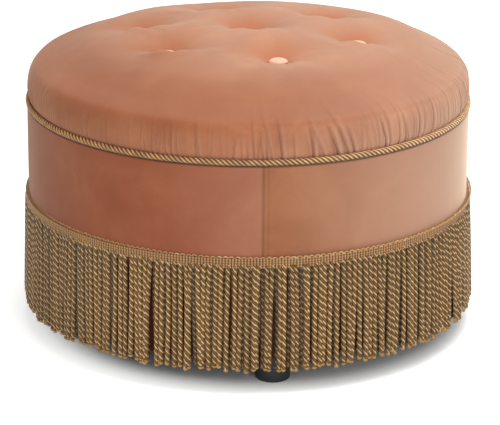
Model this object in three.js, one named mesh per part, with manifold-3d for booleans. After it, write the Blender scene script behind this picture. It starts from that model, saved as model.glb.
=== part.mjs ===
// A round tuffet: a buttoned velvet cushion on a drum of plywood and hardboard, with a rope welt,
// a velvet band in two lengths, a bullion fringe and four screw-in feet.
// Millimetres, +Z up. The origin is on the floor under the centre, and -Y is the front.
import * as THREE from 'three';
import { mergeVertices } from 'three/addons/utils/BufferGeometryUtils.js';
import { ConvexHull } from 'three/addons/math/ConvexHull.js';
import Module from 'manifold-3d';

const wasm = await Module();
wasm.setup();

// Driving sizes
const BAND_RADIUS = 298; // the drum over its velvet
const FOOT_HEIGHT = 45;
const FRAME_HEIGHT = 257; // underside of the base panel to the top of the deck
const CROWN_HEIGHT = 108; // the cushion above the deck, at its centre before it is tufted
const CLEARANCE = 0.3; // between pieces that bear on each other
const OVERRUN = 5; // how far a cutter runs past what it cuts
const RING_FLATS = 48; // sides of every large circle
const SMALL_FLATS = 12; // sides of buttons, washers and nuts
const MERGE_WITHIN = 0.001; // corners nearer than this are one corner

// Thickness of each sheet and cloth
const PLYWOOD = 18;
const HARDBOARD = 3;
const WADDING = 3;
const VELVET = 1.2;
const TAPE = 1.2;
const CAMBRIC = 1;

// Posts and the screws that hold them
const POST_COUNT = 4;
const POST_WIDTH = 45;
const POST_INSET = 43.9; // from each post's middle out to the panels' edge
const POST_TURN = THREE.MathUtils.degToRad(53);
const SCREW_FLATS = 8;
const SCREW_LENGTH = 55;
const SCREW_RADIUS = 2.2;
const SCREW_HEAD_RADIUS = 4.6;
const SCREW_HEAD_HEIGHT = 3;
const SCREW_POINT = 5;

// Feet, their studs and the pronged nuts in the base
const FOOT_COUNT = 4;
const FOOT_FLATS = 16;
const FOOT_RADIUS = 22.5;
const FOOT_INSET = 42.9; // from each foot's middle out to the base panel's edge
const FOOT_TURN = THREE.MathUtils.degToRad(8);
const FOOT_BOTTOM_EASE = 2.5; // bevel round the tread
const FOOT_TOP_EASE = 1.5;
const STUD_FLATS = 8;
const STUD_RADIUS = 4;
const STUD_IN_FOOT = 28;
const STUD_PAST_NUT = 5;
const STUD_EASE = 0.8;
const NUT_WALL = 1.3;
const NUT_DEPTH = 12;
const NUT_FLANGE_RADIUS = 11;
const NUT_FLANGE = 1.5;

// Cushion profile
const CROWN_DROP = 40; // from the centre to where the shoulder begins
const SHOULDER_WIDTH = 46; // from there out to the fullest point of the side
const SHOULDER_EASE = 27; // how long the crown's line carries on into the shoulder
const SIDE_EASE = 30; // how long the side's upright line carries on into the shoulder
const SIDE_BULGE = 4.2; // the fullest point, past the hem
const BULGE_HEIGHT = 24; // of the fullest point above the deck
const NECK_HEIGHT = 9; // where the rope draws the side in, above the deck
const HEM_DEPTH = 10; // the cover's turned-down edge, over the deck's edge
const SHOULDER_STEPS = 3;

// Tufting
const TUFT_COUNT = 6; // round the one at the centre
const TUFT_CIRCLE_SHARE = 0.6; // of the crown's radius where the shoulder begins
const TUFT_TURN = THREE.MathUtils.degToRad(15);
const TUFT_ROW_SHARE = 0.88; // how near the rows lie, front to back, for rows of an even hexagon
const TUFT_DEPTHS = [18.5, 10.5, 9.5, 17, 18.5, 13.5, 9.5]; // each as drawn down by hand, the centre one first
const TUFT_REACH_SHARE = 0.42; // of the way to the next tuft
const TUFT_SEAT_RIM = 1.4; // flat cloth showing past the button
const TUFT_FLATS = 8;
const LATTICE_STEPS = 5; // mesh steps between neighbouring tufts
const UNEVEN_SHARE = 1e-6; // keeps any four lifted mesh points out of one plane
const BUTTON_RADIUS = 12.5;
const BUTTON_DOME = 5;
const BUTTON_EDGE = 1.4;
const SHANK_RADIUS = 2.2;
const SHANK_LENGTH = 5;
const TWINE_FLATS = 6;
const TWINE_RADIUS = 1.25;
const KNOT_RADIUS = 3.5;
const KNOT_HEIGHT = 5;
const WASHER_RADIUS = 11;
const WASHER = 2;

// Rope welt and its tape
const ROPE_RADIUS = 4.25;
const ROPE_FLATS = 8;
const TAPE_DEPTH = 12;

// Band seams and bullion fringe
const SEAM_TURN = THREE.MathUtils.degToRad(3.8);
const FRINGE_GAP = 33; // from the floor up to the cords' ends
const CORD_DROP = 137; // from the cords' ends up to the header
const HEADER_HEIGHT = 15;
const HEADER_WALL = 3.4;
const CORD_WIDTH = 7.3;
const CORD_PITCH = 7.9;
const CORD_FLATS = 3; // one side lies against the drum
const CORD_SPLAY = 1.5; // how far the ends stand out past the tops
const CORD_STAGGER = 2.5; // how unevenly the ends hang
const STAGGER_TURN = 2.4; // radians from one cord's share of that to the next

// Radii of the drum, from the velvet inwards
const bandInner = BAND_RADIUS - VELVET;
const waddingOuter = bandInner - CLEARANCE;
const waddingInner = waddingOuter - WADDING;
const sideOuter = waddingInner - CLEARANCE;
const sideInner = sideOuter - HARDBOARD;
const frameRadius = sideInner - CLEARANCE;
const hemRadius = frameRadius + CLEARANCE + VELVET;
const tapeInner = hemRadius + CLEARANCE;
const tapeOuter = tapeInner + TAPE;
const shoulderRadius = hemRadius + SIDE_BULGE - SHOULDER_WIDTH;
const tuftCircle = shoulderRadius * TUFT_CIRCLE_SHARE;
const tuftReach = tuftCircle * TUFT_REACH_SHARE;

// Heights, from the floor upwards
const cambricBottom = FOOT_HEIGHT + CLEARANCE;
const baseBottom = cambricBottom + CAMBRIC + CLEARANCE;
const baseTop = baseBottom + PLYWOOD;
const deckTop = baseBottom + FRAME_HEIGHT;
const deckBottom = deckTop - PLYWOOD;
const foamBottom = deckTop + CLEARANCE;
const ropeHeight = deckTop + CLEARANCE + ROPE_RADIUS;
const sideTop = deckTop - TAPE_DEPTH - CLEARANCE;
const headerBottom = FRINGE_GAP + CORD_DROP;

// Finishes
const finish = (color, roughness, metalness = 0) => new THREE.MeshStandardMaterial({ color, roughness, metalness });
const velvet = finish(0xb5745a, 0.85);
const buttonVelvet = finish(0xdfa98f, 0.85);
const goldYarn = finish(0x9c7c50, 0.6);
const blackPlastic = finish(0x1b1c1b, 0.5);
const plywood = finish(0xc9a876, 0.75);
const pine = finish(0xd9bf8e, 0.75);
const hardboard = finish(0x8a6a48, 0.8);
const polyester = finish(0xf0efe9, 0.95);
const foamRubber = finish(0xefe3b4, 0.95);
const blackCambric = finish(0x242424, 0.95);
const zincSteel = finish(0xb9bcc0, 0.35, 0.9);
const waxedTwine = finish(0xd8ceb4, 0.8);
const cottonTape = finish(0xcbb48a, 0.9);

/** A closed surface as a solid that can be joined and cut. */
function solid(geometry) {
  const bare = geometry.clone();
  bare.deleteAttribute('normal');
  bare.deleteAttribute('uv');
  const merged = mergeVertices(bare, MERGE_WITHIN);
  const mesh = new wasm.Mesh({
    numProp: 3,
    vertProperties: new Float32Array(merged.attributes.position.array),
    triVerts: new Uint32Array(merged.index.array),
  });
  mesh.merge();
  return new wasm.Manifold(mesh);
}

/** A solid back as geometry that a mesh can show. */
function surface(made) {
  const { vertProperties, triVerts } = made.getMesh();
  const geometry = new THREE.BufferGeometry();
  geometry.setAttribute('position', new THREE.BufferAttribute(vertProperties, 3));
  geometry.setIndex(new THREE.BufferAttribute(triVerts, 1));
  geometry.computeVertexNormals();
  return geometry;
}

/** A profile of [radius, height] points turned about the Z axis. */
function turned(profile, flats) {
  const points = profile.map(([radius, height]) => new THREE.Vector2(radius, height));
  return new THREE.LatheGeometry(points, flats).rotateX(Math.PI / 2);
}

/** A ring with square edges. */
function ring(inner, outer, bottom, top, flats = RING_FLATS) {
  return turned([[inner, bottom], [outer, bottom], [outer, top], [inner, top], [inner, bottom]], flats);
}

/** An upright round bar. */
function bar(radius, bottom, top, flats = RING_FLATS) {
  return turned([[0, bottom], [radius, bottom], [radius, top], [0, top]], flats);
}

/** The places, evenly spaced on a circle about the centre, counted from the front towards the right. */
function placesOnCircle(count, circle, turn) {
  return Array.from({ length: count }, (_, i) => {
    const angle = turn + (i * 2 * Math.PI) / count;
    return { x: circle * Math.sin(angle), y: -circle * Math.cos(angle), angle };
  });
}

const footPlaces = placesOnCircle(FOOT_COUNT, frameRadius - FOOT_INSET, FOOT_TURN);
const postPlaces = placesOnCircle(POST_COUNT, frameRadius - POST_INSET, POST_TURN);
const tuftPlaces = [{ x: 0, y: 0 }, ...placesOnCircle(TUFT_COUNT, tuftCircle, TUFT_TURN)].map(({ x, y }, i) => {
  return { x, y: y * TUFT_ROW_SHARE, depth: TUFT_DEPTHS[i] };
});

/** Cuts the same tool out of a blank at every place. */
function cutAt(blank, places, tool) {
  return places.reduce((left, { x, y }) => left.subtract(tool.translate([x, y, 0])), blank);
}

/** A named mesh, at a place on the plan if one is given. */
function piece(name, geometry, material, { x = 0, y = 0, angle = 0 } = {}) {
  const mesh = new THREE.Mesh(geometry, material);
  mesh.name = name;
  mesh.position.set(x, y, 0);
  mesh.rotation.z = angle;
  return mesh;
}

// Frame

/** The profile of a countersunk screw, its head's face at height 0 and its point below. */
function screwProfile(grow = 0) {
  return [
    [0, -SCREW_LENGTH],
    [SCREW_RADIUS + grow, SCREW_POINT - SCREW_LENGTH],
    [SCREW_RADIUS + grow, -SCREW_HEAD_HEIGHT],
    [SCREW_HEAD_RADIUS + grow, 0],
  ];
}

/** A screw, or with grow the hole for it, which runs out past the head's face. */
function screwSolid(grow = 0) {
  const profile = screwProfile(grow);
  if (grow > 0) {
    profile[0] = [0, -SCREW_LENGTH - grow];
    profile.push([SCREW_HEAD_RADIUS + grow, OVERRUN], [0, OVERRUN]);
  } else {
    profile.push([0, 0]);
  }
  return solid(turned(profile, SCREW_FLATS));
}

const screwDown = screwSolid();
const screwUp = screwDown.rotate([180, 0, 0]);
const screwHoleDown = screwSolid(CLEARANCE).translate([0, 0, deckTop]);
const screwHoleUp = screwSolid(CLEARANCE).rotate([180, 0, 0]).translate([0, 0, baseBottom]);

function makeBasePanel() {
  const nutHole = solid(bar(STUD_RADIUS + CLEARANCE + NUT_WALL + CLEARANCE, baseBottom - OVERRUN, baseTop + OVERRUN,
    SMALL_FLATS));
  let panel = solid(bar(frameRadius, baseBottom, baseTop));
  panel = cutAt(panel, footPlaces, nutHole);
  panel = cutAt(panel, postPlaces, screwHoleUp);
  return piece('base_panel', surface(panel), plywood);
}

function makeDeckPanel() {
  const twineHole = solid(bar(TWINE_RADIUS + CLEARANCE, deckBottom - OVERRUN, deckTop + OVERRUN, TWINE_FLATS));
  let panel = solid(bar(frameRadius, deckBottom, deckTop));
  panel = cutAt(panel, tuftPlaces, twineHole);
  panel = cutAt(panel, postPlaces, screwHoleDown);
  return piece('deck_panel', surface(panel), plywood);
}

function makePosts() {
  const length = deckBottom - baseTop - CLEARANCE * 2;
  const middle = (deckBottom + baseTop) / 2;
  const block = solid(new THREE.BoxGeometry(POST_WIDTH, POST_WIDTH, length)).translate([0, 0, middle]);
  const post = surface(block.subtract(screwHoleDown).subtract(screwHoleUp));
  return postPlaces.map((place, i) => piece(`post_${i + 1}`, post, pine, place));
}

function makeFrameScrews() {
  const down = surface(screwDown.translate([0, 0, deckTop]));
  const up = surface(screwUp.translate([0, 0, baseBottom]));
  return postPlaces.flatMap((place, i) => [
    piece(`deck_screw_${i + 1}`, down, zincSteel, place),
    piece(`base_screw_${i + 1}`, up, zincSteel, place),
  ]);
}

// Feet

function makeFeet() {
  const boreRadius = STUD_RADIUS + CLEARANCE;
  const boreBottom = FOOT_HEIGHT - STUD_IN_FOOT - CLEARANCE;
  const foot = turned([
    [0, 0],
    [FOOT_RADIUS - FOOT_BOTTOM_EASE, 0],
    [FOOT_RADIUS, FOOT_BOTTOM_EASE],
    [FOOT_RADIUS, FOOT_HEIGHT - FOOT_TOP_EASE],
    [FOOT_RADIUS - FOOT_TOP_EASE, FOOT_HEIGHT],
    [boreRadius, FOOT_HEIGHT],
    [boreRadius, boreBottom],
    [0, boreBottom],
  ], FOOT_FLATS);
  return footPlaces.map((place, i) => piece(`foot_${i + 1}`, foot, blackPlastic, place));
}

function makeStuds() {
  const bottom = FOOT_HEIGHT - STUD_IN_FOOT;
  const top = baseTop + CLEARANCE + NUT_FLANGE + STUD_PAST_NUT;
  const stud = turned([
    [0, bottom],
    [STUD_RADIUS - STUD_EASE, bottom],
    [STUD_RADIUS, bottom + STUD_EASE],
    [STUD_RADIUS, top - STUD_EASE],
    [STUD_RADIUS - STUD_EASE, top],
    [0, top],
  ], STUD_FLATS);
  return footPlaces.map((place, i) => piece(`foot_stud_${i + 1}`, stud, zincSteel, place));
}

function makeFootNuts() {
  const inner = STUD_RADIUS + CLEARANCE;
  const seat = baseTop + CLEARANCE;
  const nut = turned([
    [inner, baseTop - NUT_DEPTH],
    [inner + NUT_WALL, baseTop - NUT_DEPTH],
    [inner + NUT_WALL, seat],
    [NUT_FLANGE_RADIUS, seat],
    [NUT_FLANGE_RADIUS, seat + NUT_FLANGE],
    [inner, seat + NUT_FLANGE],
    [inner, baseTop - NUT_DEPTH],
  ], SMALL_FLATS);
  return footPlaces.map((place, i) => piece(`foot_nut_${i + 1}`, nut, zincSteel, place));
}

function makeDustCover() {
  const boltHole = solid(bar(STUD_RADIUS + CLEARANCE, 0, baseTop, STUD_FLATS));
  const cloth = solid(bar(frameRadius, cambricBottom, cambricBottom + CAMBRIC));
  return piece('dust_cover', surface(cutAt(cloth, footPlaces, boltHole)), blackCambric);
}

// Drum walls

const makeSidePanel = () => piece('side_panel', ring(sideInner, sideOuter, baseBottom, sideTop), hardboard);

const makeSideWadding = () => piece('side_wadding', ring(waddingInner, waddingOuter, baseBottom, deckTop), polyester);

/** The two lengths of the velvet band, which meet at a seam near the front and one at the back. */
function makeBand() {
  const whole = solid(ring(bandInner, BAND_RADIUS, baseBottom, deckTop));
  const reach = BAND_RADIUS + OVERRUN;
  const half = new THREE.BoxGeometry(reach, reach * 2, deckTop * 2).translate((reach + CLEARANCE) / 2, 0, 0);
  const right = solid(half.rotateZ(SEAM_TURN));
  const left = right.rotate([0, 0, 180]);
  return [
    piece('band_right', surface(whole.intersect(right)), velvet),
    piece('band_left', surface(whole.intersect(left)), velvet),
  ];
}

// Cushion

const crownTop = deckTop + CROWN_HEIGHT;
const crownSlope = (-2 * CROWN_DROP) / shoulderRadius;
const seatRadius = (BUTTON_RADIUS + TUFT_SEAT_RIM) / Math.cos(Math.PI / TUFT_FLATS);

/** Height of the crown with no tufts in it. */
const crownHeight = (radius) => crownTop - CROWN_DROP * (radius / shoulderRadius) ** 2;

/** Height of the flat that a button sits on. */
const seatHeight = ({ x, y, depth }) => crownHeight(Math.hypot(x, y)) - depth;

/** Height of the tufted crown over a point of the plan. */
function tuftedHeight(x, y) {
  const plain = crownHeight(Math.hypot(x, y));
  return tuftPlaces.reduce((height, tuft) => {
    const away = Math.hypot(x - tuft.x, y - tuft.y);
    const fade = THREE.MathUtils.clamp((tuftReach - away) / (tuftReach - seatRadius), 0, 1);
    return THREE.MathUtils.lerp(height, seatHeight(tuft), fade ** 2);
  }, plain);
}

/** The side of the cushion from the shoulder's start down to the neck, as [radius, height] points. */
function sideProfile() {
  const fullest = new THREE.Vector2(hemRadius + SIDE_BULGE, deckTop + BULGE_HEIGHT);
  const start = new THREE.Vector2(shoulderRadius, crownHeight(shoulderRadius));
  const shoulder = new THREE.CubicBezierCurve(
    start,
    start.clone().add(new THREE.Vector2(SHOULDER_EASE, SHOULDER_EASE * crownSlope)),
    fullest.clone().add(new THREE.Vector2(0, SIDE_EASE)),
    fullest,
  );
  const neck = new THREE.Vector2(hemRadius, deckTop + NECK_HEIGHT);
  return [...shoulder.getPoints(SHOULDER_STEPS), neck];
}

/** A point of the side profile, moved inwards by the inset. */
function insetPoint(profile, i, inset) {
  const before = profile[Math.max(i - 1, 0)];
  const after = profile[Math.min(i + 1, profile.length - 1)];
  const along = after.clone().sub(before).normalize();
  const outward = i === 0 ? new THREE.Vector2(0, 1) : new THREE.Vector2(-along.y, along.x);
  if (i === profile.length - 1) outward.set(1, 0);
  return profile[i].clone().addScaledVector(outward, -inset);
}

/** Mesh points of the crown's plan: a lattice through the tufts, a ring about each and the rim. */
function crownPlan() {
  const step = tuftCircle / LATTICE_STEPS;
  const reach = Math.ceil((shoulderRadius / step) * 2);
  const across = new THREE.Vector2(Math.sin(TUFT_TURN), -Math.cos(TUFT_TURN)).multiplyScalar(step);
  const along = across.clone().rotateAround(new THREE.Vector2(), Math.PI / 3);
  const points = [];
  for (let i = -reach; i <= reach; i += 1) {
    for (let j = -reach; j <= reach; j += 1) {
      const point = across.clone().multiplyScalar(i).addScaledVector(along, j);
      point.y *= TUFT_ROW_SHARE;
      const crowded = tuftPlaces.some(({ x, y }) => {
        const away = Math.hypot(point.x - x, point.y - y);
        return away > step / 4 && away < seatRadius + step / 4;
      });
      if (!crowded && point.length() < shoulderRadius - step / 2) points.push(point);
    }
  }
  for (const tuft of tuftPlaces) {
    for (const { x, y } of placesOnCircle(TUFT_FLATS, seatRadius, 0)) {
      points.push(new THREE.Vector2(tuft.x + x, tuft.y + y));
    }
  }
  return points;
}

/** The best-shaped triangles over a plan's points: the underside of the hull of the points lifted to a bowl. */
function triangulate(points, width) {
  const lifted = points.map((point, i) => {
    const { x, y } = point.clone().divideScalar(width);
    return new THREE.Vector3(x, y, x * x + y * y + UNEVEN_SHARE * Math.sin(i));
  });
  const order = new Map(lifted.map((point, i) => [point, i]));
  const { faces } = new ConvexHull().setFromPoints(lifted);
  return faces.filter((face) => face.normal.z < 0).map((face) => {
    const corners = [face.getEdge(0), face.getEdge(1), face.getEdge(2)].map((edge) => order.get(edge.head().point));
    return corners.reverse();
  });
}

const profile = sideProfile();
const rimPlan = Array.from({ length: RING_FLATS }, (_, i) => {
  const angle = (i * 2 * Math.PI) / RING_FLATS;
  return new THREE.Vector2(Math.cos(angle), Math.sin(angle)).multiplyScalar(shoulderRadius);
});
const plan = [...rimPlan, ...crownPlan()];
const crownTriangles = triangulate(plan, shoulderRadius);

/** The whole cushion as one closed solid, inset from the cover's outer face and ending at a given height. */
function cushionBlank(inset, bottom) {
  const positions = plan.flatMap(({ x, y }) => [x, y, tuftedHeight(x, y) - inset]);
  const indices = crownTriangles.flat();
  const levels = profile.map((_, i) => insetPoint(profile, i, inset)).slice(1);
  levels.push(new THREE.Vector2(levels.at(-1).x, bottom));
  let upper = rimPlan.map((_, i) => i);
  for (const level of levels) {
    const first = positions.length / 3;
    rimPlan.forEach((point) => {
      const { x, y } = point.clone().setLength(level.x);
      positions.push(x, y, level.y);
    });
    const lower = rimPlan.map((_, i) => first + i);
    lower.forEach((corner, i) => {
      const next = (i + 1) % RING_FLATS;
      indices.push(upper[i], corner, lower[next], upper[i], lower[next], upper[next]);
    });
    upper = lower;
  }
  const middle = positions.length / 3;
  positions.push(0, 0, bottom);
  upper.forEach((corner, i) => indices.push(middle, upper[(i + 1) % RING_FLATS], corner));
  const geometry = new THREE.BufferGeometry();
  geometry.setAttribute('position', new THREE.Float32BufferAttribute(positions, 3));
  geometry.setIndex(indices);
  return solid(geometry);
}

const shankHoleRadius = (SHANK_RADIUS + CLEARANCE) / Math.cos(Math.PI / TWINE_FLATS);
const shankHole = solid(bar(shankHoleRadius, deckBottom, crownTop + OVERRUN, TWINE_FLATS));

function makeCushionCover() {
  const hemBottom = deckTop - HEM_DEPTH;
  const shell = cushionBlank(0, hemBottom).subtract(cushionBlank(VELVET, hemBottom - OVERRUN));
  return piece('cushion_cover', surface(cutAt(shell, tuftPlaces, shankHole)), velvet);
}

function makeCushionFoam() {
  const block = cushionBlank(VELVET + CLEARANCE, foamBottom);
  return piece('cushion_foam', surface(cutAt(block, tuftPlaces, shankHole)), foamRubber);
}

/** For each tuft: its covered button, the twine that draws it down, and the washer that the twine is tied to. */
function makeTufts() {
  const washerTop = deckBottom - CLEARANCE;
  const knotTop = washerTop - WASHER - CLEARANCE;
  const washer = ring(TWINE_RADIUS + CLEARANCE, WASHER_RADIUS, washerTop - WASHER, washerTop, SMALL_FLATS);
  return tuftPlaces.flatMap((tuft, i) => {
    const seat = seatHeight(tuft) + CLEARANCE;
    const shankBottom = seat - CLEARANCE - SHANK_LENGTH;
    const button = turned([
      [0, shankBottom],
      [SHANK_RADIUS, shankBottom],
      [SHANK_RADIUS, seat],
      [BUTTON_RADIUS - BUTTON_EDGE, seat],
      [BUTTON_RADIUS, seat + BUTTON_EDGE],
      [BUTTON_RADIUS * Math.cos(Math.PI / 4), seat + BUTTON_EDGE + BUTTON_DOME * Math.sin(Math.PI / 4)],
      [0, seat + BUTTON_EDGE + BUTTON_DOME],
    ], SMALL_FLATS);
    const twine = turned([
      [0, knotTop - KNOT_HEIGHT],
      [KNOT_RADIUS, knotTop - KNOT_HEIGHT / 2],
      [TWINE_RADIUS, knotTop],
      [TWINE_RADIUS, shankBottom - CLEARANCE],
      [0, shankBottom - CLEARANCE],
    ], TWINE_FLATS);
    return [
      piece(`button_${i + 1}`, button, buttonVelvet, tuft),
      piece(`tuft_twine_${i + 1}`, twine, waxedTwine, tuft),
      piece(`tuft_washer_${i + 1}`, washer, zincSteel, tuft),
    ];
  });
}

// Trim

function makeRopeWelt() {
  const rope = new THREE.TorusGeometry(tapeInner + ROPE_RADIUS, ROPE_RADIUS, ROPE_FLATS, RING_FLATS);
  return piece('rope_welt', rope.translate(0, 0, ropeHeight), goldYarn);
}

const makeWeltTape = () => piece('welt_tape', ring(tapeInner, tapeOuter, deckTop - TAPE_DEPTH, deckTop), cottonTape);

/** The fringe: a woven header with a cord hanging at every pitch, flat at its back, its top held in the header. */
function makeFringe() {
  const inner = BAND_RADIUS + CLEARANCE;
  const cordRadius = CORD_WIDTH / 2 / Math.sin(Math.PI / CORD_FLATS);
  const cordCircle = inner + cordRadius * Math.cos(Math.PI / CORD_FLATS);
  const lean = THREE.MathUtils.radToDeg(Math.atan(CORD_SPLAY / CORD_DROP));
  const perQuarter = Math.round((Math.PI * cordCircle) / (2 * CORD_PITCH));
  const header = solid(ring(inner, inner + HEADER_WALL, headerBottom, headerBottom + HEADER_HEIGHT));
  const cords = placesOnCircle(perQuarter * 4, cordCircle, 0).map(({ x, y, angle }, i) => {
    const uneven = CORD_STAGGER * Math.sin((i % perQuarter) * STAGGER_TURN);
    const top = headerBottom + HEADER_WALL;
    const length = CORD_DROP + HEADER_WALL + uneven;
    const cord = new THREE.CylinderGeometry(cordRadius, cordRadius, length, CORD_FLATS).rotateX(Math.PI / 2);
    const hung = solid(cord.translate(0, 0, -length / 2)).rotate([-lean, 0, THREE.MathUtils.radToDeg(angle)]);
    return hung.translate([x, y, top]);
  });
  return piece('bullion_fringe', surface(wasm.Manifold.union([header, ...cords])), goldYarn);
}

/** A group of pieces. */
function assembly(name, ...pieces) {
  const group = new THREE.Group();
  group.name = name;
  group.add(...pieces.flat());
  return group;
}

const tuffet = new THREE.Group();
tuffet.add(
  assembly('frame', makeBasePanel(), makeDeckPanel(), makePosts(), makeFrameScrews(), makeDustCover()),
  assembly('feet', makeFeet(), makeStuds(), makeFootNuts()),
  assembly('drum', makeSidePanel(), makeSideWadding(), makeBand()),
  assembly('cushion', makeCushionCover(), makeCushionFoam(), makeTufts()),
  assembly('trim', makeRopeWelt(), makeWeltTape(), makeFringe()),
);

export default tuffet;
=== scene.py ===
"""A round buttoned velvet tuffet with a rope welt, a plain band and a bullion fringe, dressed for a studio picture.

Sizes are in millimetres, and become metres where a mesh is made. The origin is on the floor under the centre,
+Z is up and -Y is the front. Azimuths are counted from the front towards the right.
"""

import logging
import math
from abc import ABC, abstractmethod
from collections.abc import Callable, Iterable, Sequence
from dataclasses import dataclass, field
from enum import Enum
from functools import partial
from typing import Any

import bpy
import numpy as np
from mathutils import Matrix, Vector


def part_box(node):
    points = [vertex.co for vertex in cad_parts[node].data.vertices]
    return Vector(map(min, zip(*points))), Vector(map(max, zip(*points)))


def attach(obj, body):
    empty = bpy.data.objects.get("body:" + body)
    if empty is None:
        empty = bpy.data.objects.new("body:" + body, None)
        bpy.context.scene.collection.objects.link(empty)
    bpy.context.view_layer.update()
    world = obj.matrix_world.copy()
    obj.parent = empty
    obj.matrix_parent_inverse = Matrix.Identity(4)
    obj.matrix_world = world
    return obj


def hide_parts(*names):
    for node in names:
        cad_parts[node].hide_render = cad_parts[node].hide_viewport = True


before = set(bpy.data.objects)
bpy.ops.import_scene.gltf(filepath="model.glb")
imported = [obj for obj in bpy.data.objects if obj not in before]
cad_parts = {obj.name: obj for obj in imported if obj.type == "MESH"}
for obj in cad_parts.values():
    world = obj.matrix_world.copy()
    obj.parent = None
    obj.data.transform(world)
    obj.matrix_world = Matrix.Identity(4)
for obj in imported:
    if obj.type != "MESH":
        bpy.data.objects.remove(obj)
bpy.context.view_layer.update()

MM = 0.001
TURN = 2 * math.pi
Object = bpy.types.Object
Socket = bpy.types.NodeSocket
Stops = Sequence[tuple[float, str]]
Outline = list[tuple[float, float]]
log = logging.getLogger("tuffet")


class Slot(str, Enum):
    """The record's material slots."""

    VELVET = "velvet"
    BUTTON = "button_velvet"
    CORD = "gold_cord"
    TAPE = "cotton_tape"
    PLASTIC = "black_plastic"
    WADDING = "polyester_wadding"
    CAMBRIC = "black_cambric"


class Lay(Enum):
    """Which way a rope's strands run on its outer side, seen from outside."""

    FALLING = -1
    RISING = 1


# Colour and nodes


def linear(hex_colour: str) -> tuple[float, float, float, float]:
    """Turns an sRGB hex colour to linear.

    Args:
        hex_colour: The colour as "#RRGGBB".

    Returns:
        Red, green, blue and an alpha of 1.
    """
    parts = [int(hex_colour[i : i + 2], 16) / 255 for i in (1, 3, 5)]
    return (*(c / 12.92 if c <= 0.04045 else ((c + 0.055) / 1.055) ** 2.4 for c in parts), 1.0)


def feed(tree: bpy.types.NodeTree, node: bpy.types.Node, inputs: dict[str | int, Any]) -> None:
    """Sets or links a node's inputs.

    Args:
        tree: The node tree.
        node: The node.
        inputs: For each input, by name or place, a constant or the output socket that feeds it.
    """
    for key, value in inputs.items():
        if isinstance(value, Socket):
            tree.links.new(value, node.inputs[key])
        else:
            node.inputs[key].default_value = value


def add_node(tree: bpy.types.NodeTree, kind: str, inputs: dict[str | int, Any] | None = None, stops: Stops = (),
             out: str | int = 0, **settings: Any) -> Socket:
    """Adds a node with its settings, constants and links.

    Args:
        tree: The node tree.
        kind: The node's type, without its ShaderNode prefix.
        inputs: Its inputs, as feed takes them.
        stops: A colour ramp's places and hex colours.
        out: The output that is wanted, by name or place.
        settings: The node's other properties.

    Returns:
        The output socket.
    """
    node = tree.nodes.new("ShaderNode" + kind)
    for name, value in settings.items():
        setattr(node, name, value)
    feed(tree, node, inputs or {})
    if stops:
        ramp = node.color_ramp.elements
        while len(ramp) < len(stops):
            ramp.new(0.5)
        for element, (place, colour) in zip(ramp, stops):
            element.position = place
            element.color = linear(colour)
    return node.outputs[out]


class Finish(ABC):
    """A real material, made on a piece's Object coordinates."""

    name: str

    @abstractmethod
    def draw(self, add: Callable[..., Socket], place: Socket) -> dict[str, Any]:
        """Adds the finish's nodes.

        Args:
            add: add_node, bound to the material's node tree.
            place: The Object coordinates.

        Returns:
            The inputs of the Principled BSDF.
        """

    def material(self) -> bpy.types.Material:
        """Makes the material, or returns the one made before."""
        made = bpy.data.materials.get(self.name)
        if not made:
            made = bpy.data.materials.new(self.name)
            made.use_nodes = True
            add = partial(add_node, made.node_tree)
            inputs = self.draw(add, add("TexCoord", out="Object"))
            feed(made.node_tree, made.node_tree.nodes["Principled BSDF"], inputs)
        return made

    def dress(self, piece: Object) -> None:
        """Makes this the only material of a piece."""
        piece.data.materials.clear()
        piece.data.materials.append(self.material())


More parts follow.
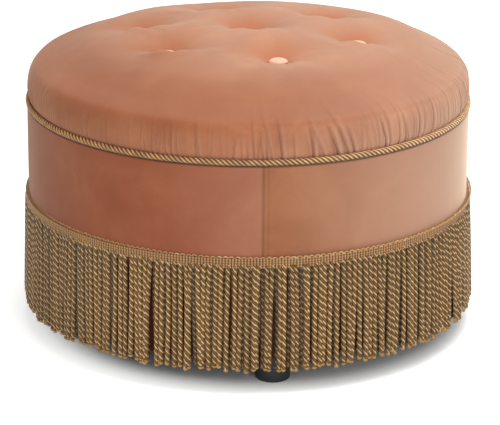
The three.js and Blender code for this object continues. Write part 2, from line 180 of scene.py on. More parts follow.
@dataclass(frozen=True)
class Velvet(Finish):
    """Cut-pile cotton velvet: deep and matt face on, paler where the pile is brushed or seen along its edge, with
    painted highlight on top, to the right and on the gathers' ridges, and painted shade over the shoulder, towards the
    front left, in the tufts and in creases and seams.
    """

    name: str
    # deep is the tone's darkest, and also the colour of the painted shade over the shoulder and towards the front left
    deep: str = "#8F5034"
    mid: str = "#A5633F"
    brushed: str = "#B47552"
    painted_highlight: str = "#CFA58D"  # painted highlight: on top, to the right and on the gathers' ridges, where the light falls
    tuft_shade: str = "#B56C48"  # painted shade on the far wall of each tuft
    # crease is the colour of the painted shade in creases and seams, under the rope and behind the fringe
    crease: str = "#5A2408"
    # How much painted highlight goes on top, towards the lit right side and on the gathers' ridges
    top_highlight_share: float = 0.38
    lit_side_share: float = 0.54
    gathers_highlight_share: float = 0.38
    shoulder_shade_share: float = 0.65  # how far the painted shade over the shoulder goes towards the deep colour
    left_shade_share: float = 0.5  # and the painted shade towards the front left, away from the light
    lit_side_way: tuple[float, float, float] = (1.0, 0.7, 0.0)
    lit_side_between: tuple[float, float] = (-0.22, 0.32)  # in metres that way
    sheen: float = 0.36
    sheen_tint: str = "#FFE9D2"
    patch_mm: float = 85.0
    pile_mm: float = 1.4  # real pile is 0.3 mm apart, drawn coarser so that it shows
    crease_mm: float = 3.6

    def draw(self, add: Callable[..., Socket], place: Socket) -> dict[str, Any]:
        """Adds brushed patches, the pile, fine creases where the cloth is gathered, and the painted highlight and
        painted shade. See Finish.draw.
        """
        gathered, sunk, creased = (add("Attribute", attribute_name=name, out="Fac")
                                   for name in ("gathered", "sunk", "creased"))
        upward = add("SeparateXYZ", {0: add("NewGeometry", out="Normal")}, out=2)
        patches = add("TexNoise", {"Vector": place, "Scale": 1 / (self.patch_mm * MM), "Detail": 4.0,
                                   "Roughness": 0.6, "Distortion": 0.4})
        pile = add("TexNoise", {"Vector": place, "Scale": 1 / (self.pile_mm * MM), "Detail": 2.0, "Roughness": 0.7})
        upright = add("Mapping", {"Vector": place, "Scale": (1.0, 1.0, 0.10)})
        creases = add("TexNoise", {"Vector": upright, "Scale": 1 / (self.crease_mm * MM), "Detail": 2.0,
                                   "Roughness": 0.6})
        brushed = add("Math", {0: patches, 1: 0.80}, operation="MULTIPLY")
        total = add("Math", {0: pile, 1: 0.20, 2: brushed}, operation="MULTIPLY_ADD")
        tone = add("ValToRGB", {0: total}, [(0.32, self.deep), (0.50, self.mid), (0.68, self.brushed)])
        # Painted highlight, where the light falls: on top, towards the right side and on the gathers' ridges
        across = add("VectorMath", {0: place, 1: self.lit_side_way}, operation="DOT_PRODUCT", out="Value")
        start, end = self.lit_side_between
        lit_side = add("MapRange", {0: across, 1: start, 2: end, 3: 0.0, 4: self.lit_side_share})
        beside = add("MapRange", {0: upward, 1: 0.8, 2: 1.0, 3: 1.0, 4: 0.45})
        side_highlight = add("Math", {0: lit_side, 1: beside}, operation="MULTIPLY")
        ridge_and_side_highlight = add("Math", {0: gathered, 1: self.gathers_highlight_share, 2: side_highlight}, operation="MULTIPLY_ADD")
        top_highlight = add("MapRange", {0: upward, 1: 0.66, 2: 1.0, 3: 0.0, 4: self.top_highlight_share})
        highlight_amount = add("Math", {0: top_highlight, 1: ridge_and_side_highlight}, operation="ADD")
        highlighted = add("Mix", {0: highlight_amount, 6: tone, 7: linear(self.painted_highlight)}, data_type="RGBA", out=2)
        # Painted shade, away from the light: over the shoulder and towards the front left
        level = add("VectorMath", {0: place, 1: (1.0, 1.0, 0.0)}, operation="MULTIPLY")
        outward = add("VectorMath", {0: level}, operation="LENGTH", out="Value")
        falling = add("MapRange", {0: outward, 1: 0.17, 2: 0.25})
        slanted = add("MapRange", {0: upward, 1: 0.44, 2: 0.94, 3: 0.0, 4: self.shoulder_shade_share})
        slope = add("Math", {0: slanted, 1: falling}, operation="MULTIPLY")
        unlit_side = add("Math", {0: lit_side, 1: -1.7, 2: 1.0}, operation="MULTIPLY_ADD")
        shoulder_shade = add("Math", {0: slope, 1: unlit_side}, operation="MULTIPLY")
        left = add("MapRange", {0: across, 1: -0.12, 2: -0.30, 3: 0.0, 4: self.left_shade_share})
        up_slope = add("MapRange", {0: upward, 1: 0.0, 2: 0.5})
        upper_left = add("Math", {0: left, 1: up_slope}, operation="MULTIPLY")
        shoulder_and_left_shade = add("Math", {0: shoulder_shade, 1: upper_left}, operation="MAXIMUM")
        # Painted shade on the far wall of each tuft
        tuft_shade_share = add("Math", {0: sunk, 1: 0.7}, operation="MULTIPLY")
        tuft_shaded = add("Mix", {0: tuft_shade_share, 6: highlighted, 7: linear(self.tuft_shade)}, data_type="RGBA", out=2)
        with_painted_shade = add("Mix", {0: shoulder_and_left_shade, 6: tuft_shaded, 7: linear(self.deep)}, data_type="RGBA", out=2)
        folds = add("Math", {0: creases, 1: gathered}, operation="MULTIPLY")
        relief = add("Bump", {"Height": folds, "Strength": 1.0, "Distance": 2.2 * MM})
        for height, strength, depth in ((patches, 0.2, 2.5), (pile, 0.15, 0.4)):
            relief = add("Bump", {"Height": height, "Strength": strength, "Distance": depth * MM, "Normal": relief})
        # Painted shade in the creases, along the seams, under the rope and behind the fringe
        return {"Base Color": add("Mix", {0: creased, 6: with_painted_shade, 7: linear(self.crease)}, data_type="RGBA", out=2),
                "Normal": relief, "Roughness": 0.9, "Specular IOR Level": 0.1, "Sheen Weight": self.sheen,
                "Sheen Roughness": 0.42, "Sheen Tint": linear(self.sheen_tint)}


@dataclass(frozen=True)
class RayonYarn(Finish):
    """Twisted rayon yarn, with a painted glint on each strand's crest and painted shade in deep brown between the
    strands.
    """

    name: str
    # From the painted shade in the grooves, through the yarn's colour, to a painted glint on the crests
    groove: str
    body: str
    crest: str
    glint: str
    fibre_mm: float = 0.9  # rayon fibre is far finer, drawn as coarse as shows
    unevenness: float = 0.34  # how much a strand's brightness changes along it
    drawn_lay: bool = False  # whether the strands follow the piece's "turn" attribute instead of its form

    def draw(self, add: Callable[..., Socket], place: Socket) -> dict[str, Any]:
        """Adds the colour from the painted shade in the grooves to the painted glint on the crests, each piece's tone
        with its painted light and shade, and the fibres. See Finish.draw.
        """
        crest, shade, turn = (add("Attribute", attribute_name=name, out="Fac") for name in ("crest", "shade", "turn"))
        fibres = add("TexNoise", {"Vector": place, "Scale": 1 / (self.fibre_mm * MM), "Detail": 3.0, "Roughness": 0.7})
        relief = add("Bump", {"Height": fibres, "Strength": 0.35, "Distance": 0.3 * MM})
        # The twist drawn in the colour: painted highlight along each strand and painted shade between, with a bump
        if self.drawn_lay:
            angle, twice = (add("Math", {0: turn, 1: by}, operation="MULTIPLY") for by in (TURN, 2 * TURN))
            swell, between = (add("Math", {0: way}, operation="COSINE") for way in (angle, twice))
            ridge = add("MapRange", {0: swell, 1: -1.0, 2: 1.0})
            narrow = add("Math", {0: ridge, 1: 1.5}, operation="POWER")
            lesser = add("MapRange", {0: between, 1: -1.0, 2: 1.0, 3: 0.0, 4: 0.42})
            strands = add("Math", {0: narrow, 1: 0.62, 2: lesser}, operation="MULTIPLY_ADD")
            crest = add("Math", {0: strands, 1: crest}, operation="MULTIPLY")
            relief = add("Bump", {"Height": ridge, "Strength": 1.0, "Distance": 1.3 * MM, "Normal": relief})
        uneven = add("Math", {0: fibres, 1: self.unevenness, 2: -self.unevenness / 2}, operation="MULTIPLY_ADD")
        level = add("Math", {0: crest, 1: uneven}, operation="ADD")
        tone = add("ValToRGB", {0: level},
                   [(0.02, self.groove), (0.40, self.body), (0.78, self.crest), (1.0, self.glint)])
        shaded = add("Mix", {0: 1.0, 6: tone, 7: shade}, data_type="RGBA", blend_type="MULTIPLY", out=2)
        return {"Base Color": shaded, "Normal": relief, "Roughness": 0.5, "Specular IOR Level": 0.35}


@dataclass(frozen=True)
class Plywood(Finish):
    """Birch plywood: pale rotary-cut veneer on its faces, and stacked light and dark plies on its sawn edge."""

    name: str = "birch_plywood"
    ply_mm: float = 1.5

    def draw(self, add: Callable[..., Socket], place: Socket) -> dict[str, Any]:
        """Adds the veneer's grain on the faces and the plies on the edges. See Finish.draw."""
        along = add("Mapping", {"Vector": place, "Scale": (1.0, 9.0, 9.0)})
        grain = add("TexNoise", {"Vector": along, "Scale": 1 / (90 * MM), "Detail": 6.0, "Distortion": 0.8})
        face = add("ValToRGB", {0: grain}, [(0.3, "#B98F5C"), (0.5, "#CBA572"), (0.7, "#DCBB8A")])
        plies = add("TexWave", {"Vector": place, "Scale": math.pi / 10 / (self.ply_mm * MM) / 2, "Distortion": 0.3},
                    bands_direction="Z")
        edge = add("ValToRGB", {0: plies}, [(0.3, "#8E6537"), (0.6, "#D2AE7B")])
        flat = add("Math", {0: add("SeparateXYZ", {0: add("NewGeometry", out="Normal")}, out=2)}, operation="ABSOLUTE")
        return {"Base Color": add("Mix", {0: flat, 6: edge, 7: face}, data_type="RGBA", out=2), "Roughness": 0.68,
                "Normal": add("Bump", {"Height": grain, "Strength": 0.2, "Distance": 0.3 * MM})}


@dataclass(frozen=True)
class SawnPine(Finish):
    """Sawn pine: yellow wood with darker growth rings that run up the post."""

    name: str = "sawn_pine"

    def draw(self, add: Callable[..., Socket], place: Socket) -> dict[str, Any]:
        """Adds rings that run upwards and the saw's roughness. See Finish.draw."""
        upright = add("Mapping", {"Vector": place, "Scale": (1.0, 1.0, 0.06)})
        rings = add("TexWave", {"Vector": upright, "Scale": 28.0, "Distortion": 6.0, "Detail": 3.0,
                                "Detail Scale": 2.0})
        saw = add("TexNoise", {"Vector": place, "Scale": 1 / (1.5 * MM), "Detail": 3.0})
        tone = add("ValToRGB", {0: rings}, [(0.1, "#B98B4D"), (0.55, "#D9B57C"), (0.9, "#E6CB98")])
        return {"Base Color": tone, "Roughness": 0.74,
                "Normal": add("Bump", {"Height": saw, "Strength": 0.35, "Distance": 0.4 * MM})}


@dataclass(frozen=True)
class WovenCloth(Finish):
    """A plain-woven or bonded cloth: two sets of threads that cross, with slubs."""

    name: str
    dark: str
    light: str
    thread_mm: float
    roughness: float = 0.9

    def draw(self, add: Callable[..., Socket], place: Socket) -> dict[str, Any]:
        """Adds the crossing threads and the slubs. See Finish.draw."""
        scale = math.pi / 10 / (self.thread_mm * MM) / 2
        warp, weft = (add("TexWave", {"Vector": place, "Scale": scale, "Distortion": 0.4}, bands_direction=way,
                          out="Fac") for way in "XY")
        threads = add("Math", {0: warp, 1: weft}, operation="MAXIMUM")
        slubs = add("TexNoise", {"Vector": place, "Scale": 1 / (9 * MM), "Detail": 5.0})
        level = add("Math", {0: threads, 1: slubs}, operation="MULTIPLY")
        return {"Base Color": add("ValToRGB", {0: level}, [(0.15, self.dark), (0.65, self.light)]),
                "Normal": add("Bump", {"Height": threads, "Strength": 0.3, "Distance": 0.2 * MM}),
                "Roughness": self.roughness}


@dataclass(frozen=True)
class Mottled(Finish):
    """A material whose colour and gloss follow one cloudy grain."""

    name: str
    stops: Stops
    grain_mm: float
    detail: float
    gloss: tuple[float, float]  # the surface's roughness at either end of the grain
    relief: tuple[float, float] = (0.0, 0.0)  # the bump's strength, and its depth in mm
    relief_mm: float = 0.0  # the relief's own grain, where it isn't the colour's
    raggedness: float = 0.5
    distortion: float = 0.0
    constants: tuple[tuple[str, float], ...] = ()

    def draw(self, add: Callable[..., Socket], place: Socket) -> dict[str, Any]:
        """Adds the grain to the colour, the gloss and the relief. See Finish.draw."""
        grain = add("TexNoise", {"Vector": place, "Scale": 1 / (self.grain_mm * MM), "Detail": self.detail,
                                 "Roughness": self.raggedness, "Distortion": self.distortion})
        low, high = self.gloss
        inputs = {"Base Color": add("ValToRGB", {0: grain}, self.stops), **dict(self.constants),
                  "Roughness": low if low == high else add("MapRange", {0: grain, 3: low, 4: high})}
        if self.relief_mm:
            grain = add("TexNoise", {"Vector": place, "Scale": 1 / (self.relief_mm * MM), "Detail": 2.0})
        strength, depth = self.relief
        if strength:
            inputs["Normal"] = add("Bump", {"Height": grain, "Strength": strength, "Distance": depth * MM})
        return inputs


CUSHION_VELVET = Velvet("cotton_velvet")
# The band's two lengths are one velvet: the right is a lighter copy, partly for its nap and partly painted light,
# lighter still towards the right; the left takes a little painted highlight all but at its far left; both have a darker
# painted shade colour
LEFT_VELVET = Velvet("cotton_velvet_left_length", deep="#8F4F36", mid="#98573C", brushed="#A26246", crease="#2E1408",
                     sheen=0.5, left_shade_share=0.0, lit_side_share=0.20, lit_side_between=(-0.31, -0.19))
RIGHT_VELVET = Velvet("cotton_velvet_right_length", deep="#91593B", mid="#9C6344", brushed="#A87050",
                      crease="#2E1408", sheen=0.9, left_shade_share=0.0, lit_side_share=0.78, lit_side_way=(1.0, 0.0, 0.0),
                      lit_side_between=(0.035, 0.30))
# The buttons' velvet is the cushion's, painted lighter as a highlight
HIGHLIT_BUTTON_VELVET = Velvet("cotton_velvet_on_buttons_painted_highlight", deep="#DDA388", mid="#E8B297", brushed="#F1C0A8",
                       painted_highlight="#F4C9B2", left_shade_share=0.0, patch_mm=14)
FRINGE_YARN = RayonYarn("twisted_rayon_bullion", groove="#472B11", body="#866031", crest="#B98E55", glint="#EACD98",
                        fibre_mm=2.4, unevenness=0.62, drawn_lay=True)
ROPE_YARN = RayonYarn("twisted_rayon_rope", groove="#573517", body="#80532A", crest="#C0905D", glint="#F4DAB4")
HEADER_YARN = RayonYarn("woven_rayon_header", groove="#38220F", body="#926A3E", crest="#BE8F60", glint="#E6C79E")
CAMBRIC = WovenCloth("bonded_black_cambric", "#101010", "#2C2C2C", 1.2, 0.95)
TAPE = WovenCloth("cotton_tape", "#9C8458", "#D6C193", 0.8)
TWINE = WovenCloth("waxed_linen_twine", "#A8986F", "#E3DABF", 0.6, 0.7)
# Black polypropylene, moulded with a fine spark texture that breaks its gloss and keeps it low
PLASTIC = Mottled("moulded_polypropylene", ((0.35, "#151716"), (0.75, "#232625")), 14, 5.0, (0.38, 0.58), (0.3, 0.15),
                  relief_mm=0.8, distortion=0.4, constants=(("IOR", 1.49),))
# Hardboard of pressed brown fibre, smooth with a fine speckle
HARDBOARD = Mottled("tempered_hardboard", ((0.3, "#5F4226"), (0.55, "#7C5A38"), (0.75, "#957046")), 2.5, 6.0,
                    (0.6, 0.6), (0.2, 0.2), raggedness=0.7)
# Zinc-plated steel, cool grey and half bright, with the cloudy patches of the plating
ZINC = Mottled("zinc_plated_steel", ((0.3, "#9FA4AA"), (0.7, "#C9CCCF")), 6, 4.0, (0.26, 0.46),
               constants=(("Metallic", 1.0),))
# Carded polyester wadding, white, matt and fluffy, with soft clumps of fibre
WADDING = Mottled("carded_polyester_wadding", ((0.3, "#DAD8CF"), (0.65, "#F3F2EC")), 12, 8.0, (0.97, 0.97),
                  (0.6, 1.5), raggedness=0.75, constants=(("Sheen Weight", 0.3),))


# Mesh work


def only(*pieces: Object) -> None:
    """Selects these objects and no other, with the first one active.

    Args:
        pieces: The objects, if any.
    """
    bpy.ops.object.select_all(action="DESELECT")
    for piece in pieces:
        piece.select_set(True)
    if pieces:
        bpy.context.view_layer.objects.active = pieces[0]


def facing_out() -> Object:
    """Turns the faces of the mesh that is being edited outward, leaves edit mode and returns the object."""
    bpy.ops.mesh.select_all(action="SELECT")
    bpy.ops.mesh.normals_make_consistent(inside=False)
    bpy.ops.object.mode_set(mode="OBJECT")
    return bpy.context.object


def turned(name: str, profile: Iterable[tuple[float, float]], steps: int, sweep: float = TURN,
           start: float = 0.0) -> Object:
    """Draws a profile with one vertex that is extruded from point to point, and spins it about the Z axis.

    Args:
        name: The new object's name.
        profile: Radius and height of each point, in mm.
        steps: How many steps the spin has.
        sweep: The angle of the spin, in radians.
        start: The azimuth that the profile starts at, in radians.

    Returns:
        The object, with its doubles merged and its faces pointing out.
    """
    points = [Vector((r * math.sin(start), -r * math.cos(start), z)) * MM for r, z in profile]
    only()
    bpy.ops.mesh.primitive_plane_add(size=1.0, enter_editmode=True, location=(0, 0, 0))
    bpy.ops.mesh.select_all(action="SELECT")
    bpy.ops.mesh.merge(type="CENTER")
    bpy.ops.transform.translate(value=points[0])
    for before, after in zip(points, points[1:]):
        bpy.ops.mesh.extrude_vertices_move(TRANSFORM_OT_translate={"value": after - before})
    sectors = 12 if steps % 12 == 0 else 1
    bpy.ops.mesh.select_all(action="SELECT")
    bpy.ops.mesh.spin(steps=steps // sectors, angle=-sweep / sectors, center=(0, 0, 0), axis=(0, 0, 1))
    if sectors > 1:
        bpy.ops.mesh.select_all(action="SELECT")
        bpy.ops.mesh.spin(steps=sectors - 1, dupli=True, angle=-sweep * (sectors - 1) / sectors, center=(0, 0, 0),
                          axis=(0, 0, 1))
    bpy.ops.mesh.select_all(action="SELECT")
    bpy.ops.mesh.remove_doubles(threshold=1e-6)
    made = facing_out()
    made.name = made.data.name = name
    return made


def points_of(piece: Object) -> np.ndarray:
    """Returns a piece's vertices in mm, one row each."""
    flat = np.empty(len(piece.data.vertices) * 3)
    piece.data.vertices.foreach_get("co", flat)
    return flat.reshape(-1, 3) / MM


def move_points(piece: Object, points: np.ndarray) -> None:
    """Puts a piece's vertices at the given places, in mm."""
    piece.data.vertices.foreach_set("co", (points * MM).ravel())
    piece.data.update()


def copied(first: Object, name: str, points: np.ndarray) -> Object:
    """Copies a piece, with a mesh of its own.

    Args:
        first: The piece to copy.
        name: The copy's name.
        points: Where the copy's vertices are, in mm.

    Returns:
        The copy.
    """
    piece = first.copy()
    piece.data = first.data.copy()
    piece.name = piece.data.name = name
    bpy.context.collection.objects.link(piece)
    move_points(piece, points)
    return piece


def set_attribute(piece: Object, name: str, values: np.ndarray) -> None:
    """Keeps one number for each vertex, for a material to read."""
    piece.data.attributes.new(name, "FLOAT", "POINT").data.foreach_set("value", values.astype(np.float32))


def smooth(piece: Object, angle: float = 40.0) -> None:
    """Shades a piece smooth, but for edges sharper than an angle in degrees."""
    only(piece)
    bpy.ops.object.shade_smooth_by_angle(angle=math.radians(angle))


def apply_modifiers(piece: Object) -> None:
    """Applies all of a piece's modifiers, in order."""
    only(piece)
    for modifier in list(piece.modifiers):
        bpy.ops.object.modifier_apply(modifier=modifier.name)


def joined(name: str, parts: Sequence[Object]) -> Object:
    """Joins several objects into one.

    Args:
        name: The new object's name.
        parts: The objects to join.

    Returns:
        The new object.
    """
    only(*parts)
    bpy.ops.object.join()
    made = bpy.context.object
    made.name = made.data.name = name
    return made


def finish_piece(piece: Object, finish: Finish, slot: Slot, *nodes: str) -> Object:
    """Dresses a piece, rides it on the one body and lets it stand for CAD nodes.

    Args:
        piece: The piece.
        finish: Its material.
        slot: The record's slot for its finish; not used.
        nodes: The CAD nodes that it stands for.

    Returns:
        The piece.
    """
    finish.dress(piece)
    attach(piece, "root")
    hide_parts(*nodes)
    log.info("%s: %d faces", piece.name, len(piece.data.polygons))
    return piece


def middle_of(node: str, top: bool = False) -> np.ndarray:
    """Returns the middle of a node's underside, or of its top, in mm."""
    low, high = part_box(node)
    return np.array([(low.x + high.x) / 2, (low.y + high.y) / 2, high.z if top else low.z]) / MM


def azimuth_of(points: np.ndarray) -> np.ndarray:
    """Returns each point's azimuth in radians, from the front towards the right."""
    return np.arctan2(points[:, 0], -points[:, 1])


def radius_of(points: np.ndarray) -> np.ndarray:
    """Returns each point's distance from the Z axis."""
    return np.hypot(points[:, 0], points[:, 1])


def bell(distance: np.ndarray | float, width: np.ndarray | float) -> np.ndarray:
    """Returns a bell curve, which is 1 at no distance and has fallen to 0.37 at its width."""
    return np.exp(-((distance / width) ** 2))


def wrapped(azimuth: np.ndarray, radius: np.ndarray, height: np.ndarray) -> np.ndarray:
    """Returns the points, one row each, that have these azimuths, radii and heights."""
    return np.stack([radius * np.sin(azimuth), -radius * np.cos(azimuth), height], 1)


def waves(seed: int, places: np.ndarray, length: float, count: int = 24) -> np.ndarray:
    """Sums seeded plane waves into soft unevenness.

    Args:
        seed: The random seed.
        places: Points, one row each, in mm.
        length: The usual wavelength, in mm.
        count: How many waves.

    Returns:
        A number for each point, mostly from -1 to 1.
    """
    rng = np.random.default_rng(seed)
    total = np.zeros(len(places))
    for _ in range(count):
        heading = rng.normal(size=places.shape[1])
        heading *= TURN / (length * rng.uniform(0.7, 1.5)) / np.linalg.norm(heading)
        total += np.sin(places @ heading + rng.uniform(0, TURN))
    return total / math.sqrt(count)


# The cushion


@dataclass
class Cushion:
    """The tufted cushion: a crowned top, a round shoulder and sides that are gathered in under the rope."""

    crown_top: float = 411.6
    crown_drop: float = 40.0
    shoulder_radius: float = 249.6
    fullest: tuple[float, float] = (297.0, 325.0)
    floor_height: float = 303.95
    rope_height: float = 308.5
    columns: int = 1800
    seat_radius: float = 13.6
    button_depth: float = 6.7
    hole_spread: float = 12.5
    dish_spread: float = 30.0
    dish_share: float = 0.36
    puff: float = -1.2  # the settling adds about 2 mm to it
    front_puff: float = 5.0  # how much fuller the puffs nearest the front are
    puff_circle: float = 178.0  # the radius from which the front is at its fullest
    back_drop: float = 1.4
    back_tilt: float = 0.011  # how much the back rises towards the right
    folds: int = 6  # from each tuft towards its neighbours
    fold_reach: float = 42.0
    fold_width: float = 6.5
    wrinkles: int = 9  # fine ones, close to each button
    wrinkle_width: float = 1.8
    tuft_shade_reach: float = 34.0  # how far from a button the painted shade on a tuft's far wall reaches
    lips: tuple[float, ...] = (4.0, 2.0, 7.5, 2.5, 3.0, 7.0, 11.0)  # how far the cloth stands up in front of each tuft
    swells: tuple[tuple[float, ...], ...] = ((-150, 150, 55, 3.5), (165, 130, 70, 4.0),
                                             (228, 70, 60, 4.0))  # where, how wide and how high
    pleat_count: int = 230
    pleat_depth: float = 2.8
    slack_azimuth: float = math.radians(22)  # where the pleats are widest and lean the most
    slack_spread: float = math.radians(17)
    gather_circle: float = 295.0
    net_pitch: float = 7.0
    settle_cap: float = 7.0
    tufts: list[np.ndarray] = field(default_factory=list)

    def crown(self, radius: np.ndarray | float) -> np.ndarray | float:
        """Returns the height of the untufted crown at a radius."""
        return self.crown_top - self.crown_drop * (radius / self.shoulder_radius) ** 2

    def outline(self) -> Outline:
        """Draws the turned outline from the centre of the crown to where it goes in behind the rope.

        Returns:
            Radius and height of each point.
        """
        radii = np.concatenate([np.arange(0, 124, 6.0), np.arange(126, 176, 3.2), np.arange(179, 247, 5.6)])
        wide, low = self.fullest
        a = np.array([self.shoulder_radius, self.crown(self.shoulder_radius)])
        b, c, d = a + (31, -9.3), np.array([wide, low + 38]), np.array([wide, low])
        t = np.linspace(0, 1, 25)[:, None]
        shoulder = a * (1 - t) ** 3 + 3 * b * t * (1 - t) ** 2 + 3 * c * t**2 * (1 - t) + d * t**3
        neck = [(296.8, 321.5), (296.3, 318.5), (295.3, 315.6), (293.9, 312.9), (292.3, 310.3), (291.3, 308.0)]
        return [(float(r), float(z)) for r, z in [*zip(radii, self.crown(radii)), *shoulder, *neck]]

    def tufted(self, points: np.ndarray) -> tuple[np.ndarray, np.ndarray]:
        """Shapes the crown's puffs, tufts and folds.

        Args:
            points: Points of the cushion, one row each.

        Returns:
            How far each point moves up, and how far its pile is pressed.
        """
        radius = radius_of(points)
        towards_front = 0.5 - 0.5 * points[:, 1] / radius.clip(1)
        swell = np.where(radius < self.puff_circle, bell(radius - self.puff_circle, 52), 1.0)
        lift = self.puff + self.front_puff * towards_front * swell
        for (x, y, _), lip in zip(self.tufts, self.lips):
            lift += lip * bell(points[:, 0] - x, 34) * bell(points[:, 1] - y + 27, 17)
        lift += self.back_tilt * points[:, 0] * np.clip(0.5 + points[:, 1] / 300, 0, 1)
        lift -= self.back_drop * np.clip((points[:, 1] - 80) / 130, 0, 1)
        for x, y, wide, rise in self.swells:
            lift += rise * bell(points[:, 0] - x, wide) * bell(points[:, 1] - y, 70)
        level = self.crown(radius) + lift
        pull, sunk, crease = np.zeros((3, len(points)))
        first = math.atan2(self.tufts[1][1], self.tufts[1][0])
        rng = np.random.default_rng(7)
        for x, y, seat in self.tufts:
            dx, dy = points[:, 0] - x, points[:, 1] - y
            angle = np.arctan2(dy, dx)
            past = np.clip(np.hypot(dx, dy) - self.seat_radius, 0, None)
            ripple = sum(rng.uniform(0.2, 0.5) * np.cos(k * angle + rng.uniform(0, TURN)) for k in (3, 5, 8))
            wide = 1 + 0.42 * np.sin(angle)
            hole = np.exp(-((past / (self.hole_spread * wide * (1 + 0.10 * ripple))) ** 1.3))
            dish = bell(past, self.dish_spread * wide * (1 + 0.15 * np.cos(self.folds * (angle - first))))
            fall = (1 - self.dish_share) * hole + self.dish_share * dish
            pull = np.maximum(pull, (level - seat).clip(0) * fall)
            # Painted shade on the tuft's far wall
            sunk = np.maximum(sunk, bell(past, self.tuft_shade_reach) * (0.5 + 0.5 * np.sin(angle)) ** 1.3)
            for k in range(self.folds):
                heading, bend = first + k * TURN / self.folds + rng.normal(0, 0.07), rng.normal(0, 7.0)
                ahead = dx * math.cos(heading) + dy * math.sin(heading)
                side = -dx * math.sin(heading) + dy * math.cos(heading) - bend * (ahead / 75) ** 2
                fold = bell(side, self.fold_width + 0.10 * ahead.clip(0)) * np.exp(-past / self.fold_reach) * (past > 0)
                crease += rng.uniform(0.25, 0.8) * fold * (ahead > 0)
            for _ in range(self.wrinkles):
                heading, length = rng.uniform(0, TURN), rng.uniform(5, 12)
                ahead = dx * math.cos(heading) + dy * math.sin(heading)
                side = -dx * math.sin(heading) + dy * math.cos(heading)
                wrinkle = bell(side, self.wrinkle_width) * np.exp(-past / length) * (past > 0) * (ahead > 0)
                crease += rng.uniform(0.1, 0.35) * wrinkle
        over = np.clip((290 - radius) / 70, 0, 1)
        return (lift - pull - crease) * over**2 * (3 - 2 * over), sunk

    def gathered(self, points: np.ndarray) -> tuple[np.ndarray, np.ndarray, np.ndarray]:
        """Shapes the pleats above the rope, which are deeper and longer to the right.

        Args:
            points: Points of the cushion, one row each.

        Returns:
            How far each point moves out, how much painted shade it takes deep in a pleat and how much painted highlight
            it takes on a ridge beside one.
        """
        rng = np.random.default_rng(21)
        gaps = rng.gamma(2.2, 1.0, self.pleat_count) + 0.9
        height = points[:, 2] - self.rope_height
        side = (radius_of(points) > 240) & (height > -6)
        azimuth, up = azimuth_of(points)[side], height[side]
        total, deep, stands = np.zeros((3, side.sum()))
        for place in np.cumsum(gaps) / gaps.sum() * TURN:
            right = 0.5 + 0.5 * math.sin(place)
            slack = bell(place - self.slack_azimuth, self.slack_spread)
            reach = rng.uniform(27, 58) + 24 * right**2 * rng.uniform(0.2, 1.0) + 8 * slack
            depth = self.pleat_depth * rng.uniform(0.15, 1.0) ** 1.3 * (0.34 + 0.95 * right**2) * (1 + 0.3 * slack)
            width = (rng.uniform(0.7, 1.2) + up.clip(0) * 0.010) * (1 + 0.5 * slack)
            slant = rng.normal(0.04, 0.08) * (0.4 + right) + 0.22 * slack
            across = (azimuth - place + math.pi) % TURN - math.pi
            across = across * self.gather_circle + slant * up + rng.normal(0, 2.0) * (up / 60) ** 2
            fade = np.clip(1 - (up.clip(0) / reach) ** 1.8, 0, 1)
            cut = fade * np.exp(-np.abs(across / width) ** 1.2)
            # Painted shade deep in the pleat
            deep = np.maximum(deep, cut * depth / 4.2)
            ridge = depth * fade * bell(across - 2.6 * width, 1.5 * width)
            total += 0.35 * ridge - depth * cut
            # Painted highlight on the ridge
            stands = np.maximum(stands, ridge / self.pleat_depth)
        move, creased, painted_highlight = np.zeros((3, len(points)))
        move[side] = total * np.clip((up + 6) / 8, 0, 1)
        creased[side] = deep
        painted_highlight[side] = stands
        return move, creased, painted_highlight

    def settled(self, points: np.ndarray) -> np.ndarray:
        """Simulates the filled cover on a coarse net.

        Args:
            points: Points of the tufted cushion, one row each.

        Returns:
            Each point's move along X, Y and Z, none at the buttons and behind the rope.
        """
        outline = np.array(self.outline())
        along = np.concatenate([[0], np.cumsum(np.hypot(*np.diff(outline, axis=0).T))])
        reach, pitch = along[-1], self.net_pitch
        count = 2 * math.ceil(reach / pitch) + 3
        only()
        bpy.ops.mesh.primitive_grid_add(x_subdivisions=count - 1, y_subdivisions=count - 1,
                                        size=(count - 1) * pitch * MM, enter_editmode=True)
        bpy.ops.mesh.select_all(action="DESELECT")
        bpy.ops.object.mode_set(mode="OBJECT")
        net = bpy.context.object
        net.name = "settling_net"
        net.data.vertices.foreach_set("select", radius_of(points_of(net)) > reach)
        bpy.ops.object.mode_set(mode="EDIT")
        bpy.ops.mesh.delete(type="VERT")
        bpy.ops.object.mode_set(mode="OBJECT")
        flat = points_of(net)[:, :2]
        away = radius_of(flat)
        heading = flat / away.clip(1e-6)[:, None]
        blank = np.column_stack([heading * np.interp(away, along, outline[:, 0])[:, None],
                                 np.interp(away, along, outline[:, 1])])
        blank[:, 2] += self.tufted(blank)[0]
        move_points(net, blank)
        near = np.min([np.hypot(blank[:, 0] - x, blank[:, 1] - y) for x, y, _ in self.tufts], axis=0)
        held = net.vertex_groups.new(name="held")
        held.add(np.flatnonzero((near < self.seat_radius + 4) | (away > reach - pitch * 1.2)).tolist(), 1.0, "REPLACE")
        eased = net.vertex_groups.new(name="eased")
        for level in range(1, 11):
            eased.add(np.flatnonzero(away > reach - 95 + 8 * level).tolist(), level / 10, "REPLACE")
        cloth = net.modifiers.new("cloth", "CLOTH").settings
        for name, value in {"quality": 6, "mass": 0.3, "tension_stiffness": 12, "compression_stiffness": 12,
                            "bending_stiffness": 0.4, "vertex_group_mass": "held", "vertex_group_shrink": "eased",
                            "shrink_min": -0.006, "shrink_max": -0.008, "use_pressure": True,
                            "uniform_pressure_force": 3.0}.items():
            setattr(cloth, name, value)
        cloth.effector_weights.gravity = 0.0
        for step in range(1, 21):
            bpy.context.scene.frame_set(step)
        settled = np.empty(len(blank) * 3)
